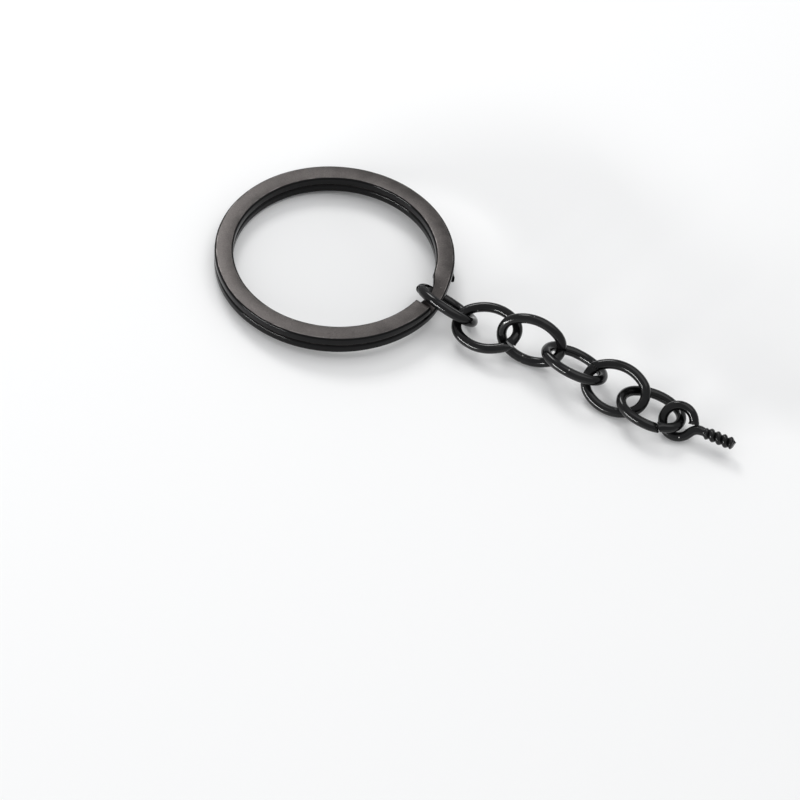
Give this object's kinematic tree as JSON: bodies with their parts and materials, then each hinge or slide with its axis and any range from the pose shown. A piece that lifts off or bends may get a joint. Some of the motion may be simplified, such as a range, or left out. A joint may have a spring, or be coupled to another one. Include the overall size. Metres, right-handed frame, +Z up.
{
  "type": "split key ring with chain",
  "caption": "Flat-wire split key ring with a short chain of oval wire links hooked through its joggle and a small screw eye at the chain's end, lying on a table.",
  "frame": {"origin": "bottom centre of the whole object's box, on the table it lies on", "axes": "+X from the split ring out along the chain to the screw's point, +Z up from the table"},
  "size_m": [0.0706, 0.03, 0.0065],
  "materials": {
    "ring_plating": "satin",
    "chain_plating": "satin"
  },
  "bodies": {
    "split_ring": {"split_ring": "ring_plating"},
    "link_1": {"chain_link_1": "chain_plating"},
    "link_2": {"chain_link_2": "chain_plating"},
    "link_3": {"chain_link_3": "chain_plating"},
    "link_4": {"chain_link_4": "chain_plating"},
    "link_5": {"chain_link_5": "chain_plating"},
    "link_6": {"chain_link_6": "chain_plating"},
    "screw_eye": {"screw_eye": "chain_plating"}
  },
  "joints": [
    {"name": "link_1_swing", "type": "hinge", "parent": "split_ring", "child": "link_1", "pos_m": [-0.00615, 0, 0.00276], "axis": [0, 1, 0], "range_deg": [-30, 25]},
    {"name": "link_2_swing", "type": "hinge", "parent": "link_1", "child": "link_2", "pos_m": [-0.0008, -0.00162, 0.00245], "axis": [-0.1811, -0.7208, 0.669], "range_deg": [-65, 25]},
    {"name": "link_3_swing", "type": "hinge", "parent": "link_2", "child": "link_3", "pos_m": [0.00518, -0.00141, 0.00334], "axis": [-0.1284, 0.9435, 0.3056], "range_deg": [-30, 25]},
    {"name": "link_4_swing", "type": "hinge", "parent": "link_3", "child": "link_4", "pos_m": [0.01099, -0.00102, 0.00321], "axis": [0.0075, -0.3423, -0.9395], "range_deg": [-75, 75]},
    {"name": "link_5_swing", "type": "hinge", "parent": "link_4", "child": "link_5", "pos_m": [0.01699, -0.00218, 0.00255], "axis": [0.1131, 0.9066, -0.4065], "range_deg": [-75, 75]},
    {"name": "link_6_swing", "type": "hinge", "parent": "link_5", "child": "link_6", "pos_m": [0.02295, -0.00272, 0.00247], "axis": [-0.0297, -0.7767, -0.6292], "range_deg": [-35, 12]},
    {"name": "screw_eye_swing", "type": "hinge", "parent": "link_6", "child": "screw_eye", "pos_m": [0.02803, -0.00314, 0.00191], "axis": [0.0237, -0.9923, 0.1217], "range_deg": [-30, 70]}
  ]
}
